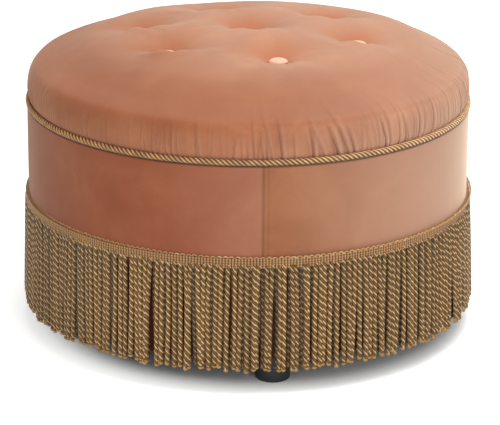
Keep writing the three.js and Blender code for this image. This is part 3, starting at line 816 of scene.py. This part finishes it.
        net.evaluated_get(bpy.context.evaluated_depsgraph_get()).data.vertices.foreach_get("co", settled)
        bpy.context.scene.frame_set(1)
        bpy.data.objects.remove(net)
        move = settled.reshape(-1, 3) / MM - blank
        size = np.linalg.norm(move, axis=1).clip(1e-6)
        log.info("cloth settles by %.1f mm on average and %.1f at most", size.mean(), size.max())
        move *= (self.settle_cap * np.tanh(size / self.settle_cap) / size)[:, None]
        cells = np.zeros((count, count, 3))
        middle = (count - 1) / 2
        cells[tuple(np.rint(flat / pitch + middle).astype(int).T)] = move
        radius = radius_of(points).clip(1e-6)
        span = np.interp(radius - points[:, 2], outline[:, 0] - outline[:, 1], along)
        place = points[:, :2] / radius[:, None] * span[:, None] / pitch + middle
        low = np.clip(place.astype(int), 0, count - 2)
        part = place - low
        corners = [((i, j), (part[:, 0] if i else 1 - part[:, 0]) * (part[:, 1] if j else 1 - part[:, 1]))
                   for i in (0, 1) for j in (0, 1)]
        return sum(cells[low[:, 0] + i, low[:, 1] + j] * share[:, None] for (i, j), share in corners)

    def build(self) -> None:
        """Turns the blank, tufts it, lets its cover settle, gathers its side and dresses it."""
        self.tufts = [middle_of(f"button_{i}", top=True) - (0, 0, self.button_depth) for i in range(1, 8)]
        hem = [(291.0, 305.6), (289.6, 304.3), *((r, self.floor_height) for r in (287.0, 200.0, 90.0, 0.0))]
        piece = turned("velvet_cushion", self.outline() + hem, self.columns)
        points = points_of(piece)
        top = points[:, 2] > self.floor_height + 1
        radius = radius_of(points).clip(1e-6)
        out = points[:, :2] / radius[:, None]
        lift, sunk = (np.where(top, part, 0) for part in self.tufted(points))
        push, creased, painted_highlight = (np.where(top, part, 0) for part in self.gathered(points))
        uneven = waves(3, points, 95) * 0.5 * np.clip((points[:, 2] - 318) / 30, 0, 1)
        moved = points.copy()
        moved[:, 2] += lift + np.where(top, uneven * np.clip(1.2 - radius / 280, 0, 1), 0)
        moved[:, :2] += out * (push + np.where(radius > 200, uneven * 0.5, 0))[:, None]
        moved[top] += self.settled(points[top]) * np.clip((264 - radius[top, None]) / 50, 0, 1)
        move_points(piece, moved)
        up = points[:, 2] - self.rope_height
        # gathered: where the fine creases' bump goes, and painted highlight, stronger to the right where the light
        # falls and on the pleats' ridges
        right = 0.35 + 0.65 * (0.5 + 0.5 * points[:, 0] / radius)
        set_attribute(piece, "gathered", np.where(radius > 235, right * np.clip(1 - up / 74, 0, 1), 0) + 0.8 * painted_highlight)
        # Painted shade deep in the pleats
        set_attribute(piece, "creased", creased)
        # Painted shade on the tufts' far walls
        set_attribute(piece, "sunk", sunk)
        smooth(piece, 60)
        finish_piece(piece, CUSHION_VELVET, Slot.VELVET, "cushion_cover", "cushion_foam")


@dataclass
class Buttons:
    """Seven buttons covered in the same velvet, each drawn down into a tuft."""

    radius: float = 12.5
    height: float = 6.2
    steps: int = 40

    def build(self) -> None:
        """Turns one button with its top at height 0, and puts a copy at every tuft."""
        shank = [(0, -11.4), (2.2, -11.4), (2.2, -self.height)]
        edge = [(self.radius - 1.6, -self.height), (self.radius - 0.5, -self.height + 0.4)]
        low = -self.height + 1.6
        dome = [(self.radius * math.cos(a), low * (1 - math.sin(a))) for a in np.linspace(0, math.pi / 2, 9)]
        first = turned("button", shank + edge + dome, self.steps)
        smooth(first, 50)
        blank = points_of(first)
        for i in range(1, 8):
            piece = copied(first, f"covered_button_{i}", blank + middle_of(f"button_{i}", top=True))
            finish_piece(piece, HIGHLIT_BUTTON_VELVET, Slot.BUTTON, f"button_{i}")
        bpy.data.objects.remove(first)


# The trim


@dataclass
class RopeWelt:
    """The four-strand rope laid round the seam between the cushion and the band."""

    circle: float = 295.5
    height: float = 308.2
    offset: float = 2.4  # from the rope's middle to each strand's
    strand: float = 1.95
    strands: int = 4
    turns: int = 70
    points_per_turn: int = 16
    lay: Lay = Lay.FALLING

    def build(self) -> None:
        """Lays the strands as curves, makes them a mesh and dresses it."""
        parts = []
        count = self.turns * self.points_per_turn
        azimuth = np.arange(count) * TURN / count
        for k in range(self.strands):
            phase = self.lay.value * self.turns * azimuth + k * TURN / self.strands
            curve = bpy.data.curves.new("strand", "CURVE")
            curve.dimensions = "3D"
            curve.bevel_depth = self.strand * MM
            curve.bevel_resolution = 2
            spline = curve.splines.new("POLY")
            spline.points.add(count - 1)
            line = wrapped(azimuth, self.circle + self.offset * np.cos(phase),
                           self.height + self.offset * np.sin(phase))
            spline.points.foreach_set("co", (np.column_stack([line, np.full(count, 1000.0)]) * MM).ravel())
            spline.use_cyclic_u = True
            parts.append(bpy.data.objects.new("strand", curve))
            bpy.context.collection.objects.link(parts[-1])
        only(*parts)
        bpy.ops.object.convert(target="MESH")
        piece = joined("laid_rope_welt", parts)
        points = points_of(piece)
        depth = np.hypot(radius_of(points) - self.circle, points[:, 2] - self.height)
        aside = np.sin(azimuth_of(points))
        # crest: painted shade in the grooves between strands and painted highlight on their crests, a little more on
        # the right
        set_attribute(piece, "crest", np.clip((depth - 2.9) / 1.45, 0, 1) ** 1.4 * (0.96 + 0.10 * aside))
        # shade: painted light, lighter at both sides and most on the right, and painted shade on the underside, with
        # the yarn's own unevenness
        under = np.clip((self.height - 1.2 - points[:, 2]) / 2.2, 0, 1)
        bright = 0.82 + 0.33 * aside**2 + np.maximum(0.09 * aside, -0.04 * aside) + 0.12 * waves(5, points, 16)
        set_attribute(piece, "shade", bright * (1 - 0.6 * under))
        smooth(piece, 60)
        finish_piece(piece, ROPE_YARN, Slot.CORD, "rope_welt")


@dataclass
class Fringe:
    """The bullion fringe: a woven header with a scalloped edge, and twisted cords that hang from it."""

    inner: float = 298.3
    header_bottom: float = 170.0
    header_top: float = 183.2
    header_wall: float = 3.0
    stitch_rise: float = 0.95
    loop_circle: float = 301.0
    loop_yarn: float = 1.15  # half the yarn's thickness in a scallop
    rows: int = 4
    cell: float = 3.9
    cord_count: int = 240  # in front, and as many behind
    cord_circle: float = 302.0
    cord_top: float = 174.5
    cord_bottom: float = 30.5
    ply: float = 8.75  # from one strand's crest to the next, down a cord
    slope: float = 1.1  # how far a strand falls for each step to the right, at the cord's front
    half_width: float = 3.7
    thickness: float = 4.6
    lean: float = 3.2
    flare: float = 2.6  # how much further the cords stand out at the right
    clump: float = 2.2  # how far neighbours sway together

    def cord_blank(self) -> Object:
        """Models one straight cord with a small loop at its end.

        Returns:
            The cord, with its flat back at Y 0 and its top at the origin.
        """
        length = self.cord_top - self.cord_bottom
        drops = np.array([*np.linspace(0, length - 8, 9), length - 5.5, length - 3.5, length - 1.2, length])
        widths = np.array([*np.ones(9), 0.84, 0.96, 0.90, 0.45])
        only()
        bpy.ops.mesh.primitive_grid_add(x_subdivisions=4, y_subdivisions=len(drops) - 1, size=2.0, enter_editmode=True)
        bpy.ops.mesh.select_all(action="SELECT")
        bpy.ops.mesh.region_to_loop()
        bpy.ops.mesh.edge_face_add()
        bpy.ops.object.mode_set(mode="OBJECT")
        blank = bpy.context.object
        flat = points_of(blank) * MM
        angle = flat[:, 0] * math.radians(82)
        row = np.rint((1 - flat[:, 1]) / 2 * (len(drops) - 1)).astype(int)
        across = np.sin(angle) * self.half_width * widths[row]
        deep = (0.4 + np.cos(angle) * (self.thickness - 0.4)) * widths[row]
        move_points(blank, np.stack([across, -deep, -drops[row]], 1))
        tip = np.clip((row - 9) / 2, 0, 1)
        # crest: painted shade towards the cord's edges, and an even tone at its tip
        set_attribute(blank, "crest", (0.78 + 0.22 * np.cos(angle)) * (1 - tip) + 0.58 * tip)
        set_attribute(blank, "turn", (drops[row] - self.slope * self.half_width * angle) / self.ply)
        bpy.ops.object.mode_set(mode="EDIT")
        facing_out()
        smooth(blank, 75)
        return blank

    def hang(self, blank: Object, azimuth: float, rng: np.random.Generator, behind: bool) -> Object:
        """Copies the cord and hangs it from the header.

        Args:
            blank: The straight cord.
            azimuth: Where it hangs, in radians.
            rng: The source of its unevenness.
            behind: Whether it hangs behind its neighbours, painted darker as if in their shade.

        Returns:
            The hung cord.
        """
        points = points_of(blank)
        length = -points[:, 2].min()
        down = np.clip(-points[:, 2] / length, 0, 1)
        wanted = self.cord_top - self.cord_bottom + np.clip(rng.normal(0, 2.2), -4.5, 3.0) - (4 if behind else 0)
        size = rng.uniform(0.89, 1.06)
        sway = rng.normal(0, 2.0) + self.clump * float(waves(19, np.array([[azimuth * 300]]), 55, 8)[0])
        across = points[:, 0] * size + sway * down + rng.normal(0, 1.2) * np.sin(math.pi * down)
        out_more = self.lean + self.flare * max(0.0, math.sin(azimuth)) ** 2
        lean = rng.uniform(0.2, 1.4) if behind else out_more + rng.normal(0, 0.8)
        out = -points[:, 1] * size + lean * down**0.8 - (1.2 if behind else 0)
        up = self.cord_top + points[:, 2] * wanted / length + (0 if behind else rng.uniform(-0.4, 0.4))
        place = wrapped(azimuth + across / self.cord_circle, self.inner + np.clip(out, 0.0, None), up)
        cord = copied(blank, "cord", place)
        # shade: the cords behind are painted darker; each cord has painted shade at its edges and just under the
        # header, and its tip is painted as light as its lightest part; the spread among front cords is their own tone
        shade = rng.uniform(0.20, 0.36) if behind else rng.uniform(0.78, 1.04)
        tip = np.clip((down - 0.96) / 0.02, 0, 1)
        facing = np.sqrt(1 - np.clip(points[:, 0] / self.half_width, -1, 1) ** 2)
        shade = shade * (1 - 0.10 * (1 - down) ** 6) * (0.58 + 0.42 * facing)
        set_attribute(cord, "shade", shade * (1 - tip) + 0.98 * shade.max() * tip)
        turn = cord.data.attributes["turn"].data
        phase = np.empty(len(points), np.float32)
        turn.foreach_get("value", phase)
        phase = phase * np.float32(rng.uniform(0.93, 1.09)) + np.float32(rng.uniform())
        phase[tip > 0.5] = np.rint(phase[tip > 0.5].mean())
        turn.foreach_set("value", phase)
        return cord

    def build_cords(self) -> None:
        """Models one cord and hangs copies of it, in four lengths of fringe."""
        blank = self.cord_blank()
        rng = np.random.default_rng(11)
        quarters: list[list[Object]] = [[] for _ in range(4)]
        step = TURN / self.cord_count
        for behind in (False, True):
            for i in range(self.cord_count):
                azimuth = (i + rng.uniform(0, 0.8)) * step if behind else i * step + rng.normal(0, 0.15) * step
                quarters[i * 4 // self.cord_count].append(self.hang(blank, azimuth, rng, behind))
        bpy.data.objects.remove(blank)
        for i, cords in enumerate(quarters, 1):
            finish_piece(joined(f"bullion_cords_{i}", cords), FRINGE_YARN, Slot.CORD, "bullion_fringe")

    def build_header(self) -> None:
        """Turns the woven header and raises its stitches in rows."""
        outer = self.inner + self.header_wall
        cells = round(TURN * outer / self.cell / 12) * 12
        heights = np.linspace(self.header_bottom, self.header_top, self.rows * 4 + 1)
        profile = [(self.inner, self.header_bottom), *((outer, float(z)) for z in heights),
                   (self.inner, self.header_top), (self.inner, self.header_bottom)]
        piece = turned("woven_header", profile, cells * 4)
        points = points_of(piece)
        azimuth = azimuth_of(points)
        radius = radius_of(points)
        row = (points[:, 2] - self.header_bottom) / (self.header_top - self.header_bottom) * self.rows
        rib = np.abs(np.sin(math.pi * azimuth / TURN * cells)) ** 0.8
        stitch = rib * (0.4 + 0.6 * np.abs(np.sin(math.pi * row)) ** 0.7)
        stitch = np.where(radius > outer - 0.5, stitch, 0)
        points[:, :2] *= (1 + self.stitch_rise * stitch * (1 + 0.15 * waves(9, points, 12)) / outer)[:, None]
        move_points(piece, points)
        # crest: painted highlight on the raised stitches and painted shade between them, and a middle level on the top
        # and inner faces
        set_attribute(piece, "crest", np.where(radius > outer - 0.5, 0.02 + 0.80 * stitch, 0.55))
        # shade: painted light, lighter towards the left and right sides, with the yarn's own unevenness
        set_attribute(piece, "shade", 0.91 + 0.26 * np.sin(azimuth) ** 2 + 0.04 * waves(4, points, 60))
        smooth(piece, 50)
        finish_piece(piece, HEADER_YARN, Slot.CORD, "bullion_fringe")

    def build_scallops(self) -> None:
        """Bends one small loop of yarn and sets copies of it along the header's top edge."""
        only()
        bpy.ops.mesh.primitive_circle_add(vertices=5, radius=self.loop_yarn * MM, location=(3.3 * MM, 0, 0),
                                          enter_editmode=True)
        bpy.ops.mesh.select_all(action="SELECT")
        bpy.ops.mesh.spin(steps=6, angle=-math.pi, center=(0, 0, 0), axis=(0, 1, 0))
        first = facing_out()
        smooth(first, 80)
        blank = points_of(first)
        rng = np.random.default_rng(17)
        loops = []
        for i in range(self.cord_count):
            angle = (i + 0.5) * TURN / self.cord_count + blank[:, 0] * rng.uniform(0.95, 1.08) / self.loop_circle
            up = self.header_top - 1.0 + np.abs(blank[:, 2]) * rng.uniform(0.72, 0.95) - 0.3
            loops.append(copied(first, "loop", wrapped(angle, self.inner + 1.9 + -blank[:, 1], up)))
        bpy.data.objects.remove(first)
        piece = joined("scalloped_edge", loops)
        points = points_of(piece)
        set_attribute(piece, "crest", np.clip(0.75 + 0.1 * waves(8, points, 9), 0, 1))
        set_attribute(piece, "shade", np.ones(len(points)))
        finish_piece(piece, HEADER_YARN, Slot.CORD, "bullion_fringe")

    def build(self) -> None:
        """Builds the header, its edge and the cords."""
        self.build_header()
        self.build_scallops()
        self.build_cords()


# The band


@dataclass
class Band:
    """The plain velvet band, in two lengths that are seamed near the front and at the back."""

    radius: float = 298.0
    bottom: float = 46.6
    top: float = 303.6
    thickness: float = 1.2
    seam_azimuth: float = math.radians(3.8)
    turn_in: float = 2.9  # how far the velvet is turned over the wadding's top, under the rope
    allowance: float = 6.4  # how far from the seam its allowance ends
    rows: int = 22
    steps: int = 720

    def length(self, name: str, start: float, finish: Finish, node: str, ridge: bool) -> None:
        """Makes one length of the band.

        Args:
            name: The piece's name.
            start: The azimuth that it starts at.
            finish: Its velvet.
            node: The CAD node that it stands for.
            ridge: Whether the seam allowance lies under this length's start.
        """
        heights = np.append(np.linspace(self.bottom, self.top - 2.4, self.rows), self.top - 0.5)
        over = [(self.radius - 0.5, self.top), (self.radius - 0.5 - self.turn_in, self.top)]
        piece = turned(name, [(self.radius, float(z)) for z in heights] + over, self.steps, math.pi, start)
        points = points_of(piece)
        from_start = ((azimuth_of(points) - start) % TURN) * self.radius
        from_end = math.pi * self.radius - from_start
        push = -1.0 * (np.exp(-from_start / 2.2) + np.exp(-from_end.clip(0) / 2.2)) + 0.12 * waves(13, points, 130)
        # Painted shade: a dark line along each seam and a fainter one along the allowance's edge
        line = bell(from_start, 1.5) + bell(from_end, 1.5)
        if ridge:
            past = from_start - self.allowance
            push += 0.25 * (1 - np.tanh((past + 1.2) / 1.4)) - 0.45 * bell(past, 1.4)
            line += 0.45 * bell(past, 1.1)
        points[:, :2] *= (1 + (push - 0.25) / self.radius)[:, None]
        move_points(piece, points)
        # Painted shade under the rope and behind the fringe, with the seams' lines
        under_rope = np.clip((points[:, 2] - self.top + 2.4) / 2.4, 0, 1)
        behind_fringe = np.clip((172 - points[:, 2]) / 8, 0, 1)
        set_attribute(piece, "creased", np.clip(0.38 * line + 0.62 * under_rope + 0.95 * behind_fringe, 0, 1))
        solidify = piece.modifiers.new("thickness", "SOLIDIFY")
        solidify.thickness = self.thickness * MM
        solidify.offset = -1.0
        apply_modifiers(piece)
        smooth(piece, 40)
        finish_piece(piece, finish, Slot.VELVET, node)

    def build(self) -> None:
        """Makes both lengths."""
        self.length("velvet_band_right", self.seam_azimuth, RIGHT_VELVET, "band_right", ridge=True)
        self.length("velvet_band_left", self.seam_azimuth + math.pi, LEFT_VELVET, "band_left", ridge=False)


# Feet and what the covers hide


@dataclass
class Feet:
    """Four short round feet of black plastic, each bored for its stud."""

    radius: float = 22.5
    height: float = 45.0
    bore: float = 4.3
    bore_bottom: float = 16.7
    steps: int = 64

    def build(self) -> None:
        """Turns one foot, with its eased tread and a shallow line under its top, and puts a copy at each corner."""
        tread = [(0, 0.6), (14, 0.6), (15, 0), (19.6, 0)]
        eased = [(self.radius - 2.5 * (1 - math.sin(a)), 2.5 * (1 - math.cos(a)))
                 for a in np.linspace(0.2, math.pi / 2, 5)]
        insets = ((0, 36), (0.5, 36.6), (0.5, 38.0), (0, 38.6), (0, 43.6), (0.4, 44.6), (1.3, self.height))
        upper = [(self.radius - inset, z) for inset, z in insets]
        inner = [(self.bore, self.height), (self.bore, self.bore_bottom), (0, self.bore_bottom)]
        first = turned("foot", tread + eased + upper + inner, self.steps)
        smooth(first, 35)
        blank = points_of(first)
        for i in range(1, 5):
            piece = copied(first, f"turned_foot_{i}", blank + middle_of(f"foot_{i}"))
            finish_piece(piece, PLASTIC, Slot.PLASTIC, f"foot_{i}")
        bpy.data.objects.remove(first)


@dataclass
class Underneath:
    """The wadding, tape and dust cover, and the carried-over frame with its woods and metals."""

    wadding_walls: tuple[float, float] = (293.6, 295.7)
    wadding_ends: tuple[float, float] = (46.8, 302.0)
    tape_walls: tuple[float, float] = (291.8, 292.8)
    tape_ends: tuple[float, float] = (291.8, 303.5)
    steps: int = 180

    def wadding(self) -> None:
        """Makes the thin sleeve of wadding between the hardboard and the band."""
        (inner, outer), (bottom, top) = self.wadding_walls, self.wadding_ends
        piece = turned("drum_wadding", [(inner, bottom), (outer, bottom), (outer, 120), (outer, 210), (outer, top),
                                        (inner, top), (inner, 210), (inner, 120), (inner, bottom)], self.steps)
        points = points_of(piece)
        points[:, :2] *= (1 + 0.08 * waves(31, points, 25) / outer)[:, None]
        move_points(piece, points)
        smooth(piece)
        finish_piece(piece, WADDING, Slot.WADDING, "side_wadding")

    def tape(self) -> None:
        """Makes the rope's sewn-on tape, which is nailed to the deck's edge."""
        (inner, outer), (bottom, top) = self.tape_walls, self.tape_ends
        piece = turned("rope_tape", [(inner, bottom), (outer, bottom), (outer, top), (inner, top), (inner, bottom)],
                       self.steps)
        smooth(piece)
        finish_piece(piece, TAPE, Slot.TAPE, "welt_tape")

    def dust_cover(self) -> None:
        """Makes the cambric under the base, with a hem round its edge and a hole for each stud."""
        low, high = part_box("dust_cover")
        bottom, top, radius = low.z / MM, high.z / MM, high.x / MM
        cloth = [(r, bottom + 0.1) for r in (0, 100, 200, radius - 14)]
        hem = [(radius - 12, bottom + 0.02), (radius - 0.6, bottom + 0.02), (radius - 0.2, top - 0.1)]
        piece = turned("cambric_dust_cover", [*cloth, *hem, (radius - 6, top - 0.02), (0, top - 0.02)], 144)
        for i in range(1, 5):
            x, y, _ = middle_of(f"foot_stud_{i}") * MM
            only()
            bpy.ops.mesh.primitive_cylinder_add(vertices=20, radius=4.4 * MM, depth=20 * MM, location=(x, y, low.z))
            tool = bpy.context.object
            cut = piece.modifiers.new("hole", "BOOLEAN")
            cut.object = tool
            cut.operation = "DIFFERENCE"
            apply_modifiers(piece)
            bpy.data.objects.remove(tool)
        smooth(piece)
        finish_piece(piece, CAMBRIC, Slot.CAMBRIC, "dust_cover")

    def frame(self) -> None:
        """Gives every carried-over node its real material."""
        steel = dict.fromkeys(("deck_screw", "base_screw", "foot_stud", "foot_nut", "tuft_washer"), ZINC)
        finishes: dict[str, Finish] = {"base_panel": Plywood(), "deck_panel": Plywood(), "side_panel": HARDBOARD,
                                       "post": SawnPine(), "tuft_twine": TWINE, **steel}
        for name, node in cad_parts.items():
            kind = next((k for k in finishes if name.startswith(k)), None)
            if kind:
                finishes[kind].dress(node)
                log.info("%s: %s", name, finishes[kind].name)

    def build(self) -> None:
        """Builds the hidden soft pieces and dresses the frame."""
        self.wadding()
        self.tape()
        self.dust_cover()
        self.frame()


# The studio


@dataclass
class Studio:
    """A pale floor, soft light from the right, and the camera where the photograph's was."""

    camera_distance: float = 3400.0
    camera_height: float = 1312.7
    pitch: float = 19.012
    roll: float = 0.388
    focal_px: float = 2622.3
    centre_px: float = 247.41
    width_px: float = 500.0
    room_light: float = 0.42
    shadow_shift: float = 0.018  # in metres, to the right
    shadow_edge: tuple[float, float] = (0.248, 0.312)  # in metres from its middle
    floor_glow: float = 0.56

    def camera(self) -> None:
        """Places the camera from the fit to the photograph."""
        data = bpy.data.cameras.new("camera")
        data.sensor_width = 36.0
        data.lens = self.focal_px * data.sensor_width / self.width_px
        data.shift_x = (self.width_px / 2 - self.centre_px) / self.width_px
        data.clip_end = 100.0
        camera = bpy.data.objects.new("camera", data)
        bpy.context.collection.objects.link(camera)
        turn = Matrix.Rotation(math.radians(90 - self.pitch), 4, "X") @ Matrix.Rotation(math.radians(self.roll), 4, "Z")
        camera.matrix_world = Matrix.Translation((0, -self.camera_distance * MM, self.camera_height * MM)) @ turn
        bpy.context.scene.camera = camera

    def lamp(self, name: str, place: tuple[float, float, float], size: float, watts: float) -> None:
        """Hangs a square softbox, turned to the tuffet.

        Args:
            name: Its name.
            place: Where it hangs, in metres.
            size: Its side, in metres.
            watts: Its power.
        """
        data = bpy.data.lights.new(name, "AREA")
        data.shape = "SQUARE"
        data.size = size
        data.energy = watts
        lamp = bpy.data.objects.new(name, data)
        bpy.context.collection.objects.link(lamp)
        lamp.location = place
        lamp.rotation_euler = (Vector((0, 0, 0.22)) - Vector(place)).to_track_quat("-Z", "Y").to_euler()

    def floor(self) -> None:
        """Lays the floor, which shows white to the camera but for the tuffet's shadow."""
        only()
        bpy.ops.mesh.primitive_plane_add(size=24.0, location=(0, 0, 0))
        floor = bpy.context.object
        floor.name = "studio_floor"
        material = bpy.data.materials.new("white_paper_sweep")
        material.use_nodes = True
        tree = material.node_tree
        add = partial(add_node, tree)
        shader = tree.nodes["Principled BSDF"]
        feed(tree, shader, {"Base Color": linear("#EFEFED"), "Roughness": 0.9, "Specular IOR Level": 0.0})
        seen = add("Math", {i: add("LightPath", out=f"Is {ray} Ray") for i, ray in enumerate(("Camera", "Glossy"))},
                   operation="MAXIMUM")
        middle = (self.shadow_shift, 0.0, 0.0)
        aside = add("VectorMath", {0: add("TexCoord", out="Object"), 1: middle}, operation="SUBTRACT")
        away = add("VectorMath", {0: aside}, operation="LENGTH", out="Value")
        # Painted shadow: the glow is left off in a disc round the tuffet, so the floor there is darker, with its edge
        # set by this ramp
        dark, light = self.shadow_edge
        level = add("MapRange", {0: away, 1: dark, 2: light, 3: 0.0, 4: self.floor_glow},
                    interpolation_type="SMOOTHSTEP")
        lift = add("Math", {0: seen, 1: level}, operation="MULTIPLY")
        glow = add("Emission", {"Color": (1, 1, 1, 1), "Strength": lift})
        both = add("AddShader", {0: shader.outputs[0], 1: glow})
        feed(tree, tree.nodes["Material Output"], {"Surface": both})
        floor.data.materials.append(material)

    def world(self) -> None:
        """Fills the room with even white light and shows white behind everything."""
        world = bpy.data.worlds.new("studio")
        world.use_nodes = True
        bpy.context.scene.world = world
        add = partial(add_node, world.node_tree)
        camera, glossy, clear = (add("LightPath", out=f"Is {ray} Ray") for ray in ("Camera", "Glossy", "Transmission"))
        seen = add("Math", {0: add("Math", {0: camera, 1: glossy}, operation="MAXIMUM"), 1: clear}, operation="MAXIMUM")
        level = add("MapRange", {0: seen, 3: self.room_light, 4: 1.0})
        feed(world.node_tree, world.node_tree.nodes["Background"], {"Strength": level, "Color": (1, 1, 1, 1)})

    def build(self) -> None:
        """Sets up the floor, the light and the camera."""
        self.floor()
        self.world()
        self.lamp("key_softbox", (0.8, -3.4, 1.5), 2.0, 58.0)
        self.lamp("top_softbox", (0.5, 0.0, 3.0), 1.8, 60.0)
        self.camera()
        bpy.context.scene.view_settings.view_transform = "Standard"


def main() -> None:
    """Builds the tuffet and the studio round it."""
    logging.basicConfig(level=logging.INFO, format="%(message)s")
    for part in (Studio(), Cushion(), Buttons(), RopeWelt(), Fringe(), Underneath(), Band(), Feet()):
        part.build()


if __name__ == "__main__":
    main()
